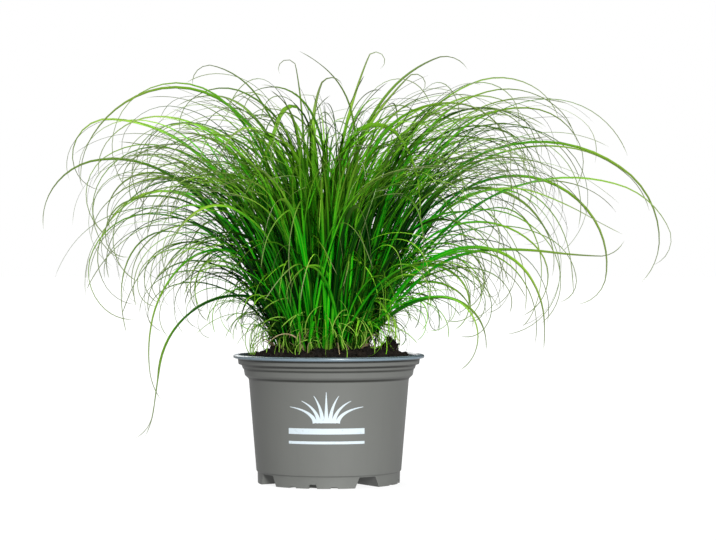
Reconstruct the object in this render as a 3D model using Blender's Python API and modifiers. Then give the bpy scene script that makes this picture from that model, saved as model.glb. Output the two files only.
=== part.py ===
"""A clump of ornamental grass in a 13 cm plastic nursery pot.

The pot is a thin turned wall with a rolled rim, a stepped collar and a notched skirt. Its base has four raised
drainage channels that open through the skirt. Peat fills it, and the clump stands in the peat as tufts in three
rings. Each tuft is one slender arching solid that follows its longest blade from the soil to the tip.

Metres, +Z up. The origin is the middle of the pot's base, on the surface that it stands on. -Y is the front.
"""

import math

import bmesh
import bpy

MM = 0.001
GAP = 0.3  # mm, between pieces that touch

# The pot, in mm: points of radius and height, from the top down
RIM_HEIGHT = 86.8
POT_OUTSIDE = (
    (64.4, RIM_HEIGHT),  # rolled rim
    (65.0, 86.0),
    (64.6, 84.6),
    (61.8, 84.2),  # upper band of the collar
    (61.4, 80.2),
    (59.3, 79.9),  # middle band
    (58.4, 77.2),
    (57.8, 76.9),  # lower band
    (57.1, 72.7),
    (54.4, 70.3),  # tapered wall
    (49.2, 8.0),
    (48.4, 7.6),  # skirt
    (48.2, 0.0),
)
POT_INSIDE = (
    (60.6, 84.8),
    (60.4, 80.8),
    (58.2, 79.0),
    (56.2, 73.2),
    (53.4, 69.6),
    (48.2, 8.2),
    (47.3, 7.2),
    (47.2, 1.6),
)
WALL = 1.0
MOUTH_FLARE = 2.0  # how far the inside opens out above the rim's inner edge
POT_STEPS = 64

# Drainage channels in the base, in mm: they start at the flat middle pad and open through the skirt
CHANNEL_START = 17.0
CHANNEL_HEIGHT = 7.2
CHANNEL_HALF_FOOT = 9.3
CHANNEL_HALF_TOP = 6.3
CHANNEL_ANGLES = [-57 + 90 * quarter for quarter in range(4)]
DRAIN_RADIUS = 3.5
DRAIN_FROM_AXIS = 33.0

# Notches in the foot of the skirt, midway between the channels, in mm
NOTCH_HALF_WIDTH = 2.9
NOTCH_HEIGHT = 2.7
NOTCH_INNER_END = 43.0
SIDE_NOTCH_HALF_WIDTH = 2.5
SIDE_NOTCH_HEIGHT = 1.0
SIDE_NOTCH_ANGLE = 17
BEYOND = 52.0  # radius past the skirt, where cutters end

# The peat's surface, in mm: points of radius and height from the middle out
SOIL_SURFACE = ((0.0, 91.5), (30.0, 90.5), (40.0, 88.0), (52.0, 84.5), (60.0, 82.6))
SOIL_STEPS = 48
CLOD_RADII = (6.5, 5.5, 5.0)
CLOD_PLACE = (41.0, 4.0)

# The clump, in mm and degrees
CROWN_X = -4.0
RING_RADIUS = {"outer": 26.5, "middle": 17.0, "inner": 8.0}
TUFT_FOOT_RADIUS = 3.6
TUFT_TIP_RADIUS = 0.8
TUFT_SEGMENTS = 11
FINE_STEPS = 12  # integration steps in a segment
STATIONS = (0.0, 0.3, 0.55, 0.75, 0.9, 1.0)
TIGHTEST_TIP = 110  # most that a tip turns over the last of the stations, so that a solid never meets itself
# For each tuft's longest blade: the seat's angle in the ring, the blade's heading, its length and its tilt from
# upright at each of the stations along it.
LEADERS = {
    "outer": (
        (0, 0, 302, (25, 42, 76, 107, 155, 250)),
        (20, 8, 306, (30, 28, 88, 142, 188, 265)),
        (40, 40, 285, (22, 39, 76, 114, 150, 200)),
        (60, 60, 275, (22, 38, 75, 112, 150, 200)),
        (80, 80, 265, (20, 37, 74, 112, 150, 205)),
        (100, 100, 268, (20, 36, 74, 112, 150, 200)),
        (120, 155, 250, (14, 17, 32, 78, 135, 185)),
        (140, 165, 235, (22, 30, 62, 118, 165, 225)),
        (160, 165, 225, (24, 27, 44, 96, 158, 215)),
        (180, 180, 260, (18, 30, 57, 98, 150, 188)),
        (200, 195, 214, (-6, 46, 134, 168, 186, 215)),
        (220, 204, 187, (0, 86, 134, 175, 168, 115)),
        (240, 240, 225, (22, 36, 72, 108, 138, 170)),
        (260, 260, 228, (22, 36, 70, 105, 135, 165)),
        (280, 280, 222, (22, 36, 72, 108, 140, 170)),
        (300, 342, 145, (42, 58, 92, 158, 205, 240)),
        (320, 350, 122, (42, 52, 84, 130, 165, 185)),
        (340, 350, 202, (30, 40, 92, 146, 176, 186)),
    ),
    "middle": (
        (5, 5, 358, (20, 33, 84, 126, 178, 228)),
        (35, 20, 268, (8, 14, 34, 70, 115, 180)),
        (65, 45, 272, (8, 14, 40, 82, 130, 185)),
        (95, 95, 280, (11, 16, 45, 86, 130, 178)),
        (125, 160, 232, (4, 8, 18, 48, 95, 120)),
        (155, 170, 297, (16, 26, 54, 88, 190, 262)),
        (185, 183, 316, (6, 5, 49, 111, 150, 185)),
        (215, 238, 262, (0, 0, 6, 150, 138, 135)),
        (245, 245, 248, (9, 14, 45, 92, 136, 175)),
        (275, 275, 240, (9, 14, 45, 92, 136, 175)),
        (305, 335, 243, (0, 0, 12, 140, 172, 182)),
        (335, 345, 278, (8, 15, 34, 70, 122, 165)),
    ),
    "inner": (
        (25, 5, 246, (2, 6, 15, 42, 68, 150)),
        (85, 5, 224, (1, 4, 9, 16, 22, 240)),
        (145, 175, 240, (2, 5, 19, 36, 75, 195)),
        (205, 180, 212, (2, 2, 3, 4, 10, 215)),
        (265, 350, 198, (-2, -2, -3, -1, 20, 165)),
        (325, 178, 217, (-7, -8, -6, 14, 48, 64)),
    ),
}


def clear_scene():
    for thing in list(bpy.data.objects):
        bpy.data.objects.remove(thing, do_unlink=True)


def new_collection(name):
    collection = bpy.data.collections.new(name)
    bpy.context.scene.collection.children.link(collection)
    return collection


def surface(name, colour, roughness):
    """A plain Principled material of this colour and roughness, with no metal in it."""
    material = bpy.data.materials.new(name)
    material.use_nodes = True
    shader = material.node_tree.nodes["Principled BSDF"]
    shader.inputs["Base Color"].default_value = (*colour, 1.0)
    shader.inputs["Roughness"].default_value = roughness
    shader.inputs["Metallic"].default_value = 0.0
    return material


def add_object(name, data, collection, material=None):
    thing = bpy.data.objects.new(name, data)
    collection.objects.link(thing)
    if material:
        data.materials.append(material)
    return thing


def turned(name, profile, collection, steps, material=None):
    """A solid turned round Z from a profile in mm that starts and ends on the axis, top first."""
    mesh = bpy.data.meshes.new(name)
    points = [(radius * MM, 0.0, height * MM) for radius, height in profile]
    mesh.from_pydata(points, [(i, i + 1) for i in range(len(points) - 1)], [])
    thing = add_object(name, mesh, collection, material)
    screw = thing.modifiers.new("turn", "SCREW")
    screw.axis = "Z"
    screw.steps = steps
    screw.render_steps = steps
    screw.use_merge_vertices = True
    screw.merge_threshold = 0.00001
    return thing


def add_wedge(shape, angle, start, end, half_foot, half_top, height):
    """Adds a bar along a radius to the mesh being built. Its section is a trapezoid that stands on z = 0 and runs on
    below it, so that a cutter passes right through the base."""
    below = 1.0
    slope = (half_foot - half_top) / height
    corners = bmesh.ops.create_cube(shape, size=2.0)["verts"]
    for corner in corners:
        top = corner.co.z > 0
        along = end if corner.co.x > 0 else start
        across = half_top if top else half_foot + slope * below
        across = math.copysign(across, corner.co.y)
        turn = math.radians(angle)
        corner.co.x = (along * math.cos(turn) - across * math.sin(turn)) * MM
        corner.co.y = (along * math.sin(turn) + across * math.cos(turn)) * MM
        corner.co.z = (height if top else -below) * MM


def base_hollows(name, grow, collection, with_side_notches):
    """The channels and notches under the base as one cutter, made larger by grow on every side."""
    shape = bmesh.new()
    for angle in CHANNEL_ANGLES:
        add_wedge(
            shape,
            angle,
            CHANNEL_START - grow,
            BEYOND,
            CHANNEL_HALF_FOOT + grow,
            CHANNEL_HALF_TOP + grow,
            CHANNEL_HEIGHT + grow,
        )
        middle = angle + 45
        half = NOTCH_HALF_WIDTH + grow
        add_wedge(shape, middle, NOTCH_INNER_END - grow, BEYOND, half, half - 0.6, NOTCH_HEIGHT + grow)
        if with_side_notches:
            for side in (-SIDE_NOTCH_ANGLE, SIDE_NOTCH_ANGLE):
                half = SIDE_NOTCH_HALF_WIDTH
                add_wedge(
                    shape, middle + side, NOTCH_INNER_END, BEYOND, half, half - 0.3, SIDE_NOTCH_HEIGHT
                )
    mesh = bpy.data.meshes.new(name)
    shape.to_mesh(mesh)
    shape.free()
    return hidden(add_object(name, mesh, collection))


def drain_holes(name, collection):
    """Four upright pegs that pierce the channels' ceilings."""
    shape = bmesh.new()
    for angle in CHANNEL_ANGLES:
        peg = bmesh.ops.create_cone(
            shape,
            cap_ends=True,
            segments=16,
            radius1=DRAIN_RADIUS * MM,
            radius2=DRAIN_RADIUS * MM,
            depth=4 * MM,
        )["verts"]
        turn = math.radians(angle)
        place = (
            DRAIN_FROM_AXIS * math.cos(turn) * MM,
            DRAIN_FROM_AXIS * math.sin(turn) * MM,
            (CHANNEL_HEIGHT + WALL / 2) * MM,
        )
        bmesh.ops.translate(shape, verts=peg, vec=place)
    mesh = bpy.data.meshes.new(name)
    shape.to_mesh(mesh)
    shape.free()
    return hidden(add_object(name, mesh, collection))


def hidden(thing):
    thing.hide_render = True
    thing.display_type = "WIRE"
    return thing


def cut(thing, cutter):
    boolean = thing.modifiers.new("cut by " + cutter.name, "BOOLEAN")
    boolean.operation = "DIFFERENCE"
    boolean.object = cutter


def make_pot(collection, cutters):
    """The pot: its outer form, less a cavity that leaves the base and the covers of the channels."""
    plastic = surface("taupe plastic", (0.20, 0.195, 0.175), 0.45)
    floor = POT_INSIDE[-1][1]
    outside = [(0.0, RIM_HEIGHT), *POT_OUTSIDE, (0.0, 0.0)]
    mouth = (POT_INSIDE[0][0] + MOUTH_FLARE, RIM_HEIGHT + MOUTH_FLARE)
    inside = [(0.0, mouth[1]), mouth, *POT_INSIDE, (0.0, floor)]
    pot = turned("pot", outside, collection, POT_STEPS, plastic)
    cavity = hidden(turned("cavity", inside, cutters, POT_STEPS))
    cut(cavity, base_hollows("channel covers", WALL, cutters, with_side_notches=False))
    cut(pot, cavity)
    cut(pot, base_hollows("channels", 0.0, cutters, with_side_notches=True))
    cut(pot, drain_holes("drain holes", cutters))


def soil_height(radius):
    """The height of the peat's surface at a distance from the pot's axis, in mm."""
    for (near, high), (far, low) in zip(SOIL_SURFACE, SOIL_SURFACE[1:]):
        if radius <= far:
            return high + (low - high) * (radius - near) / (far - near)
    return SOIL_SURFACE[-1][1]


def make_soil(collection, cutters):
    """The peat, which fills the pot round the covers of the channels, and a loose clod on it."""
    peat = surface("dark peat", (0.018, 0.012, 0.008), 0.95)
    side = [(radius - GAP, height) for radius, height in POT_INSIDE[1:-1]]
    bottom_radius, floor = POT_INSIDE[-1]
    profile = [
        *SOIL_SURFACE,
        *side,
        (bottom_radius - GAP, floor + GAP),
        (0.0, floor + GAP),
    ]
    soil = turned("soil", profile, collection, SOIL_STEPS, peat)
    cut(soil, base_hollows("room for covers", WALL + GAP, cutters, with_side_notches=False))

    x, y = CLOD_PLACE
    shape = bmesh.new()
    bmesh.ops.create_icosphere(shape, subdivisions=2, radius=MM)
    bmesh.ops.scale(shape, vec=CLOD_RADII, verts=shape.verts)
    mesh = bpy.data.meshes.new("peat_clod")
    shape.to_mesh(mesh)
    shape.free()
    clod = add_object("peat_clod", mesh, collection, peat)
    inner_edge = soil_height(math.hypot(x, y) - CLOD_RADII[0] / 2)
    clod.location = (x * MM, y * MM, (inner_edge + CLOD_RADII[2] + GAP) * MM)


def tilt_at(tilts, share):
    """A blade's tilt from upright at a share of its length."""
    for i, (low, high) in enumerate(zip(STATIONS, STATIONS[1:])):
        if share <= high:
            return tilts[i] + (tilts[i + 1] - tilts[i]) * (share - low) / (high - low)
    return tilts[-1]


def leader_path(length, tilts):
    """Points (x, z) in mm from a blade's foot to its tip, in its own upright plane, and each point's share of the
    length. They lie closer together towards the tip, where the blade curls."""
    *early, last = tilts
    last = max(min(last, early[-1] + TIGHTEST_TIP), early[-1] - TIGHTEST_TIP)
    points = [(0.0, 0.0, 0.0)]
    x = z = 0.0
    total = TUFT_SEGMENTS * FINE_STEPS
    done = 0.0
    for step in range(total):
        share = 1 - (1 - (step + 1) / total) ** 1.25
        angle = math.radians(tilt_at((*early, last), (done + share) / 2))
        x += (share - done) * length * math.sin(angle)
        z += (share - done) * length * math.cos(angle)
        done = share
        if (step + 1) % FINE_STEPS == 0:
            points.append((x, z, share))
    return points


def make_tuft(name, ring, leader, crown, collection, material):
    """A tuft as a round tapering curve along its longest blade, with filled ends."""
    seat, heading, length, tilts = leader
    path = leader_path(length, tilts)
    curve = bpy.data.curves.new(name, "CURVE")
    curve.dimensions = "3D"
    curve.bevel_depth = TUFT_FOOT_RADIUS * MM
    curve.bevel_resolution = 1
    curve.use_fill_caps = True
    spline = curve.splines.new("POLY")
    spline.points.add(len(path) - 1)
    for point, (x, z, share) in zip(spline.points, path):
        point.co = (x * MM, 0.0, z * MM, 1.0)
        taper = TUFT_TIP_RADIUS + (TUFT_FOOT_RADIUS - TUFT_TIP_RADIUS) * (1 - share**1.5)
        point.radius = taper / TUFT_FOOT_RADIUS
    tuft = add_object(name, curve, collection, material)
    radius = RING_RADIUS[ring]
    x = radius * math.cos(math.radians(seat))
    y = radius * math.sin(math.radians(seat))
    foot = soil_height(math.hypot(CROWN_X + x, y))
    lift = GAP + (TUFT_FOOT_RADIUS + 0.5) * abs(math.sin(math.radians(tilts[0])))
    tuft.parent = crown
    tuft.location = (x * MM, y * MM, (foot + lift) * MM)
    tuft.rotation_euler = (0.0, 0.0, math.radians(heading))


def make_clump(collection):
    blade = surface("grass blade", (0.07, 0.28, 0.012), 0.4)
    crown = bpy.data.objects.new("crown", None)
    collection.objects.link(crown)
    crown.location = (CROWN_X * MM, 0.0, 0.0)
    for ring, leaders in LEADERS.items():
        for number, leader in enumerate(leaders, 1):
            make_tuft(f"tuft_{ring}_{number:02d}", ring, leader, crown, collection, blade)


def main():
    clear_scene()
    parts = new_collection("potted_grass_clump")
    cutters = new_collection("cutters")
    make_pot(parts, cutters)
    make_soil(parts, cutters)
    make_clump(parts)


main()
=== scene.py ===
"""The finished looks of a potted clump of ornamental grass: moulded pot, crumbly peat and tufts of arching blades.

It is laid out as an add-on: settings, one operator for each group of pieces, and a panel. Run as a script it makes
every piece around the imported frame, then the stage. Metres, +Z up, -Y is the front.
"""

import math
import random

import bmesh
import bpy
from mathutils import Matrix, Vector, noise


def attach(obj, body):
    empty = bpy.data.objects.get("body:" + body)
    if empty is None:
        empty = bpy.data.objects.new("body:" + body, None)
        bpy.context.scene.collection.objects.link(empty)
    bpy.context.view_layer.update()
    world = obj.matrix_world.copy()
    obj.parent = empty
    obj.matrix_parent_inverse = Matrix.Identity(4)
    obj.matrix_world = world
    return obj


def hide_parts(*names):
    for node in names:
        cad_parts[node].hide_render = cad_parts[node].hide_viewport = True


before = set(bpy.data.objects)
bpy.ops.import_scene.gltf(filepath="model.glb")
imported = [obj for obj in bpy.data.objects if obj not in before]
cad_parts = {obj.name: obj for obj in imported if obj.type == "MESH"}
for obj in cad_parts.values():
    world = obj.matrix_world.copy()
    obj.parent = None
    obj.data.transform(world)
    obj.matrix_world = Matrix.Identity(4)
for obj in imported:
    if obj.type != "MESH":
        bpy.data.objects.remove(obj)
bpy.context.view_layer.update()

bl_info = {
    "name": "Potted Grass Clump",
    "version": (1, 0, 0),
    "blender": (4, 5, 0),
    "location": "View3D > Sidebar > Grass Pot",
    "description": "Makes a clump of arching grass in a plastic nursery pot",
    "category": "Object",
}

MM = 0.001
# Points this close are one after a cut, in metres
WELD = 0.000005

# The pot, in mm: points of radius and height from the top down, and how far each corner is rounded
POT_OUTSIDE = (
    (61.6, 86.8, 0.5), (64.2, 86.8, 0.9), (65.0, 85.9, 0.8), (64.7, 84.5, 0.5), (61.9, 84.2, 0.3),
    (61.4, 80.3, 0.7), (59.3, 79.9, 0.4), (58.5, 77.4, 0.3), (57.8, 77.0, 0.2), (57.7, 76.4, 0.3),
    (57.1, 72.9, 0.7), (54.4, 70.4, 0.8), (49.2, 8.2, 0.6), (48.4, 7.7, 0.3), (48.2, 0.0, 0.25),
)
POT_INSIDE = (
    (60.6, 85.6, 0.6), (60.4, 80.8, 0.6), (58.2, 79.0, 0.6), (56.2, 73.2, 0.6), (53.4, 69.6, 0.6),
    (48.2, 8.2, 0.6), (47.3, 7.2, 0.4), (47.2, 1.6, 0.8),
)
# The straight wall between the skirt and the collar: height and radius of its two ends
WALL = [(height, radius) for radius, height, _ in (POT_OUTSIDE[12], POT_OUTSIDE[11])]
# The cutter of the pot's hollow starts above the rim
MOUTH = ((62.6, 88.0, 0.0), (61.2, 86.4, 0.4))
POT_WALL = 1.0
BASE_TOP = 1.6
CHANNEL_ANGLES = [-57 + 90 * quarter for quarter in range(4)]
BEYOND_SKIRT = 52.0
# Edges of the pot that turn by more than this many degrees stay sharp
SHARP_FROM = 32
# The pegs that cut the drain holes, in mm
PEG_RING, PEG_RADIUS, PEG_DEPTH, PEG_HEIGHT = 33, 3.5, 4, 7.7

# The printed sign, in mm: how far it stands off the wall, how deep it sinks in, where its middle is, how high the
# strokes start, and the two lines: half their length, then each one's height and half width
INK_LIFT = 0.06
INK_DEPTH = 0.25
PRINT_MIDDLE = -1.0
STROKES_FROM = 43.5
LINE_HALF = 26.0
LINES = ((38.0, 1.9), (30.5, 0.9))

# The peat, in mm: points of radius and height, on its surface from the middle out and then down its side
PEAT_SURFACE = ((0.0, 91.5), (30.0, 91.0), (42.0, 89.0), (52.0, 86.0), (57.0, 83.4), (60.3, 81.6))
PEAT_SIDE = ((60.0, 80.9), (57.7, 78.8), (55.8, 73.0), (53.0, 69.3), (47.9, 8.6))
PEAT_EDGE = 60.1
PEAT_RINGS = 75
PEAT_FACETS = 240
# Crumbs lie higher than this and nearer to the axis than this
CRUMBS_ABOVE = 81.8
CRUMBS_WITHIN = 56.8
CLOD_PLACE = (41.0, 4.0, 92.0)
# Small heaps of crumbs beside the clump: place, radius and rise
HEAPS = ((45.0, -10.0, 11.0, 2.2), (-41.0, -12.0, 9.0, 2.0), (28.0, -36.0, 12.0, 1.0))

# The clump, in mm and degrees. The seats of a ring start at an angle and stand so far apart. Each row of LEADERS is a
# tuft's longest blade, close to its solid in the frame: its heading, its length, and its tilt from upright at each of
# STATIONS along it.
CROWN_X = -4.0
ROOT_DEPTH = 2.5
RING_RADIUS = {"outer": 26.5, "middle": 17.0, "inner": 8.0}
SEATS = {"outer": (0, 20), "middle": (5, 30), "inner": (25, 60)}
STATIONS = (0.0, 0.3, 0.55, 0.75, 0.9, 1.0)
# How much closer together a blade's points lie towards its tip
TIPWARD = 1.4
LEADERS = {
    "outer": (
        (0, 302, (25, 42, 76, 107, 155, 250)),
        (8, 306, (30, 28, 88, 142, 188, 265)),
        (40, 285, (22, 39, 76, 114, 150, 200)),
        (60, 275, (22, 38, 75, 112, 150, 200)),
        (80, 265, (20, 37, 74, 112, 150, 205)),
        (100, 268, (20, 36, 74, 112, 150, 200)),
        (155, 250, (14, 17, 32, 78, 135, 185)),
        (165, 235, (22, 30, 62, 118, 165, 225)),
        (165, 225, (24, 27, 44, 96, 158, 215)),
        (180, 260, (18, 30, 57, 98, 150, 188)),
        (195, 214, (-6, 46, 134, 168, 186, 215)),
        (204, 187, (0, 86, 134, 175, 168, 115)),
        (240, 225, (22, 36, 72, 108, 138, 170)),
        (260, 228, (22, 36, 70, 105, 135, 165)),
        (280, 222, (22, 36, 72, 108, 140, 170)),
        (342, 145, (42, 58, 92, 158, 205, 240)),
        (350, 122, (42, 52, 84, 130, 165, 185)),
        (350, 202, (30, 40, 92, 146, 176, 186)),
    ),
    "middle": (
        (5, 358, (20, 33, 84, 126, 178, 228)),
        (20, 268, (8, 14, 34, 70, 115, 180)),
        (45, 272, (8, 14, 40, 82, 130, 185)),
        (95, 280, (11, 16, 45, 86, 130, 178)),
        (160, 232, (4, 8, 18, 48, 95, 120)),
        (170, 297, (16, 26, 54, 88, 190, 262)),
        (183, 316, (6, 5, 49, 111, 150, 185)),
        (238, 262, (-6, -5, 2, 150, 140, 138)),
        (245, 248, (9, 14, 45, 92, 136, 175)),
        (275, 240, (9, 14, 45, 92, 136, 175)),
        (335, 243, (0, 0, 12, 140, 172, 182)),
        (345, 278, (8, 15, 34, 70, 122, 165)),
    ),
    "inner": (
        (5, 246, (2, 6, 15, 42, 68, 150)),
        (5, 224, (1, 4, 9, 16, 22, 240)),
        (175, 240, (2, 5, 19, 36, 75, 195)),
        (180, 212, (2, 2, 3, 4, 10, 215)),
        (350, 198, (-2, -2, -3, -1, 20, 165)),
        (178, 217, (-7, -8, -6, 14, 48, 64)),
    ),
}
# Other long blades that stand out of the clump: the tuft they belong to, then the same numbers and a width in mm
COMPANIONS = (
    ("inner", 1, 5, 219, (2, 5, 12, 35, 45, 230), 3.4),
    ("outer", 18, 352, 207, (34, 46, 87, 97, 92, 25), 3.0),
    ("outer", 18, 340, 192, (32, 40, 88, 140, 172, 190), 2.0),
    ("middle", 12, 352, 243, (30, 32, 64, 110, 120, 116), 2.4),
    ("outer", 1, 6, 224, (32, 36, 82, 118, 172, 258), 1.3),
    ("outer", 2, 356, 225, (25, 31, 88, 136, 202, 248), 2.2),
    ("outer", 9, 155, 200, (22, 34, 95, 145, 195, 255), 1.3),
    ("outer", 10, 176, 220, (18, 26, 64, 110, 190, 280), 2.0),
    ("middle", 6, 172, 286, (16, 26, 58, 118, 196, 238), 1.3),
    ("middle", 2, 15, 258, (8, 16, 36, 82, 140, 190), 1.8),
    ("middle", 1, 8, 300, (22, 30, 66, 98, 130, 165), 2.2),
    ("middle", 7, 188, 262, (10, 14, 40, 88, 140, 190), 2.2),
    ("outer", 12, 208, 184, (0, 84, 130, 170, 172, 150), 2.6),
    ("outer", 9, 160, 178, (20, 36, 74, 120, 190, 250), 1.6),
    ("outer", 8, 170, 195, (18, 30, 72, 125, 170, 200), 2.0),
    ("middle", 6, 178, 235, (12, 22, 62, 104, 140, 180), 2.2),
    ("outer", 11, 184, 168, (22, 34, 76, 124, 196, 268), 1.4),
    ("inner", 6, 185, 205, (-3, -2, 8, 40, 90, 170), 2.0),
)
# The broadest leaders' widths in mm
BROAD = {("inner", 1): 3.6, ("inner", 2): 3.6, ("inner", 5): 5.0, ("middle", 1): 3.4, ("middle", 7): 3.2,
         ("middle", 8): 4.8, ("middle", 11): 4.8, ("outer", 2): 3.4, ("outer", 12): 2.6, ("outer", 16): 2.0}

# How far the clump reaches from the pot's axis and its middle height, in mm, and how low it may hang beside the pot
REACH = {"left": 196.0, "right": 233.0, "front": 170.0, "back": 200.0, "top": 143.0, "bottom": 120.0}
MIDDLE_HEIGHT = 150.0
LOW_AT_FRONT = 118.0
LOW_AT_SIDES = 96.0
POT_CLEAR = 60.0
# The short litter at the foot of the clump, in mm: where it starts round the crown, and where it may lie
LITTER_RING = (20.0, 31.0)
LITTER_WITHIN, LITTER_ABOVE, LITTER_ABOVE_AT_BACK = 58, 84, 92

# The shares of tall and of arching blades in a tuft, and how many more blades a tuft on the right has
FAN_SHARE = 0.56
ARCH_SHARE = 0.33
MORE_AT_RIGHT = 6
# A ring's followers: least and greatest lean, and how far their headings spread, in degrees
HABIT = {"outer": (12.0, 36.0, 25.0), "middle": (5.0, 24.0, 31.0), "inner": (-4.0, 14.0, 75.0)}


# ---- Node trees ----


def live(sockets):
    """The sockets in use, without those of a node's other modes."""
    return [socket for socket in sockets if socket.enabled]


def plug(value, socket):
    """Links a field into a socket, or sets the socket to a plain value. A colour gets its alpha."""
    if isinstance(value, Field):
        socket.id_data.links.new(value.socket, socket)
    else:
        socket.default_value = (*value, 1.0) if socket.type == "RGBA" else value


def made(tree, kind, inputs=None, **settings):
    """The first output of a new node. Its inputs go by name, or by number among the sockets in use."""
    node = tree.nodes.new(kind)
    for name, value in settings.items():
        setattr(node, name, value)
    for key, value in (inputs or {}).items():
        plug(value, live(node.inputs)[key] if isinstance(key, int) else node.inputs[key])
    return Field(live(node.outputs)[0])


def math_node(operation):
    """A method that puts a field, and what else it is given, through a Math node."""
    return lambda self, *others: self.math(operation, *others)


class Field:
    """A node's output. Arithmetic on it adds nodes to its tree."""

    def __init__(self, socket):
        self.socket = socket
        self.tree = socket.id_data

    def other(self, name):
        """Another output of the same node."""
        return Field(self.socket.node.outputs[name])

    def math(self, operation, *others):
        return made(self.tree, "ShaderNodeMath", dict(enumerate((self, *others))), operation=operation)

    __add__ = __radd__ = math_node("ADD")
    __sub__ = math_node("SUBTRACT")
    __mul__ = __rmul__ = math_node("MULTIPLY")
    __truediv__ = math_node("DIVIDE")
    __pow__ = math_node("POWER")
    at_least = math_node("MAXIMUM")
    over = math_node("GREATER_THAN")
    sin = math_node("SINE")
    cos = math_node("COSINE")
    size = math_node("ABSOLUTE")

    def __rsub__(self, other):
        return self * -1.0 + other

    def __rtruediv__(self, other):
        return self**-1.0 * other

    def between(self, low, high):
        """0 below low, 1 above high, and soft between."""
        return made(self.tree, "ShaderNodeMapRange", {0: self, 1: low, 2: high}, interpolation_type="SMOOTHSTEP")

    def parts(self):
        """The X, Y and Z of a vector."""
        first = made(self.tree, "ShaderNodeSeparateXYZ", {0: self})
        return [first.other(axis) for axis in "XYZ"]

    def vector_math(self, operation, other):
        inputs = {0: self, "Scale" if operation == "SCALE" else 1: other}
        return made(self.tree, "ShaderNodeVectorMath", inputs, operation=operation)

    def noise(self, scale, detail=3.0, roughness=0.55, distortion=0.0):
        """Noise from 0 to 1 at a place."""
        inputs = {"Vector": self, "Scale": scale, "Detail": detail, "Roughness": roughness, "Distortion": distortion}
        return made(self.tree, "ShaderNodeTexNoise", inputs)


def vector(tree, *parts):
    return made(tree, "ShaderNodeCombineXYZ", dict(enumerate(parts)))


def blend(field, low, high):
    """low where the field is 0 and high where it is 1, as a number."""
    return field * (high - low) + low


def layered(tree, base, *layers):
    """The base colour with each (share, colour) laid over it in turn."""
    for share, layer in layers:
        base = made(tree, "ShaderNodeMix", {0: share, 1: base, 2: layer}, data_type="RGBA")
    return base


def attribute(tree, name):
    """A named number of the mesh, in a material."""
    return made(tree, "ShaderNodeAttribute", attribute_name=name).other("Fac")


def object_place(tree):
    """The place on the piece, in a material."""
    return made(tree, "ShaderNodeTexCoord").other("Object")


def new_material(name):
    """An empty material with a Principled BSDF, its tree and the shader."""
    material = bpy.data.materials.new(name)
    material.use_nodes = True
    return material, material.node_tree, material.node_tree.nodes["Principled BSDF"]


def surface(shader, relief=None, **inputs):
    """Plugs values into the shader's sockets, named by keyword, and a relief of height, depth and strength."""
    for name, value in inputs.items():
        plug(value, shader.inputs[name.replace("_", " ")])
    if relief:
        bump = dict(zip(("Height", "Distance", "Strength"), relief))
        plug(made(shader.id_data, "ShaderNodeBump", bump), shader.inputs["Normal"])


def group_tree(name, kind, inputs, outputs):
    """A node group with these (name, socket type, default) sockets, its inputs as fields and its end's sockets."""
    tree = bpy.data.node_groups.new(name, kind)
    for direction, sockets in (("INPUT", inputs), ("OUTPUT", outputs)):
        for label, socket_type, *default in sockets:
            socket = tree.interface.new_socket(label, in_out=direction, socket_type="NodeSocket" + socket_type)
            if default:
                socket.default_value = default[0]
    source = tree.nodes.new("NodeGroupInput")
    fields = {label: Field(source.outputs[label]) for label, *_ in inputs}
    return tree, fields, tree.nodes.new("NodeGroupOutput").inputs


# ---- Pieces ----


def add_object(name, data, *materials):
    """A new object of a mesh, a light or a camera, in the scene."""
    thing = bpy.data.objects.new(name, data)
    bpy.context.scene.collection.objects.link(thing)
    for material in materials:
        data.materials.append(material)
    return thing


def piece_from(name, shape, *materials):
    """A piece made of a bmesh, which is used up."""
    mesh = bpy.data.meshes.new(name)
    shape.to_mesh(mesh)
    shape.free()
    return add_object(name, mesh, *materials)


def make_plain(piece):
    """Applies the piece's modifiers: its mesh becomes what they make of it."""
    graph = bpy.context.evaluated_depsgraph_get()
    old = piece.data
    mesh = bpy.data.meshes.new_from_object(piece.evaluated_get(graph), depsgraph=graph)
    piece.modifiers.clear()
    piece.data = mesh
    mesh.name = piece.name
    if old.users == 0:
        bpy.data.meshes.remove(old)
    return piece


def run_nodes(piece, tree, **inputs):
    """Runs a geometry node tree on the piece, with its inputs set by the sockets' identifiers."""
    modifier = piece.modifiers.new("nodes", "NODES")
    modifier.node_group = tree
    for item in tree.interface.items_tree:
        value = inputs.get(item.name.replace(" ", "_"))
        if item.in_out == "INPUT" and value is not None:
            modifier[item.identifier] = value
    make_plain(piece)


def finish_piece(piece, slot, *nodes):
    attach(piece, "root")
    if nodes:
        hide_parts(*nodes)


def rounded(outline, steps=4):
    """The outline in mm with each corner (radius, height, rounding) turned into an arc. The ends stay sharp."""
    points = []
    for i, (radius, height, rounding) in enumerate(outline):
        corner = Vector((radius, height))
        if rounding == 0 or i in (0, len(outline) - 1):
            points.append(corner)
            continue
        before, after = ((Vector(outline[i + side][:2]) - corner).normalized() for side in (-1, 1))
        start, end = corner + before * rounding, corner + after * rounding
        for step in range(steps + 1):
            share = step / steps
            points.append(start.lerp(corner, share).lerp(corner.lerp(end, share), share))
    return points


def turned(name, points, steps):
    """A mesh turned round Z from points (radius, height) in mm, from the top down the outer side."""
    mesh = bpy.data.meshes.new(name)
    mesh.from_pydata([(x * MM, 0.0, z * MM) for x, z in points], [(i, i + 1) for i in range(len(points) - 1)], [])
    piece = add_object(name, mesh)
    screw = piece.modifiers.new("turn", "SCREW")
    screw.steps = screw.render_steps = steps
    screw.use_merge_vertices = True
    screw.merge_threshold = 0.00001
    return make_plain(piece)


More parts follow.
